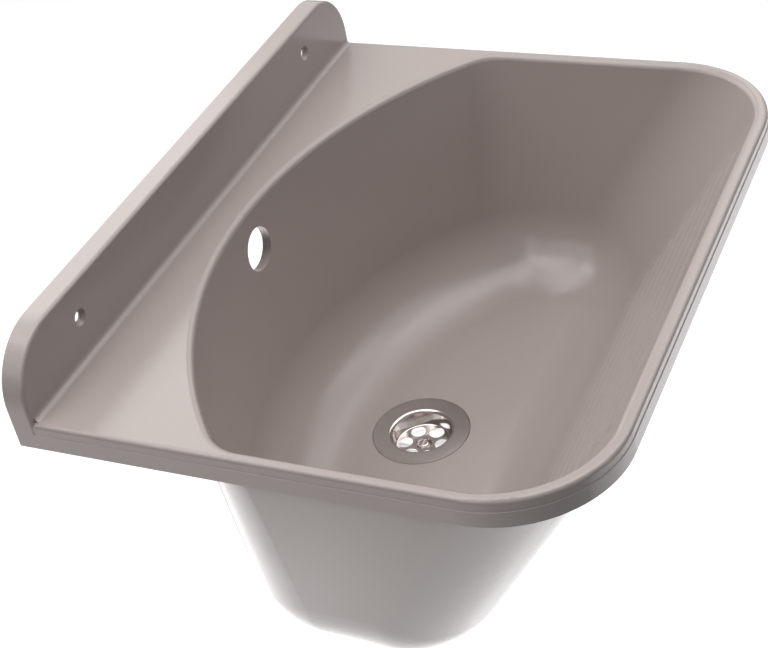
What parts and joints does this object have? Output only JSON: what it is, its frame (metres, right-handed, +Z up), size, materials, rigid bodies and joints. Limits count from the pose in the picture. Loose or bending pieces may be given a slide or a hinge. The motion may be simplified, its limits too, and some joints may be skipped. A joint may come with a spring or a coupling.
{
  "type": "utility sink",
  "caption": "Wall-hung plastic utility sink with a low splashback, a rear ledge, a deep rounded bowl with a sloping washboard front wall, an overflow hole and a screwed strainer waste.",
  "frame": {"origin": "midway between the two wall fixing holes, where they open behind the splashback's wall, 12 mm in front of the wall", "axes": "+X along the wall, +Y into the wall, +Z up"},
  "size_m": [0.5, 0.386, 0.32],
  "materials": {
    "basin_plastic": "smooth satin gloss, warm grey",
    "stainless": "polished",
    "seal_rubber": "matt",
    "waste_plastic": "moulded, milky white, lets some light through",
    "nut_brass": "turned"
  },
  "bodies": {
    "root": {"basin": "basin_plastic", "strainer": "stainless", "strainer_seal": "seal_rubber", "waste_body": "waste_plastic", "waste_seal": "seal_rubber", "clamp_screw": "stainless", "clamp_nut": "nut_brass"}
  },
  "joints": []
}
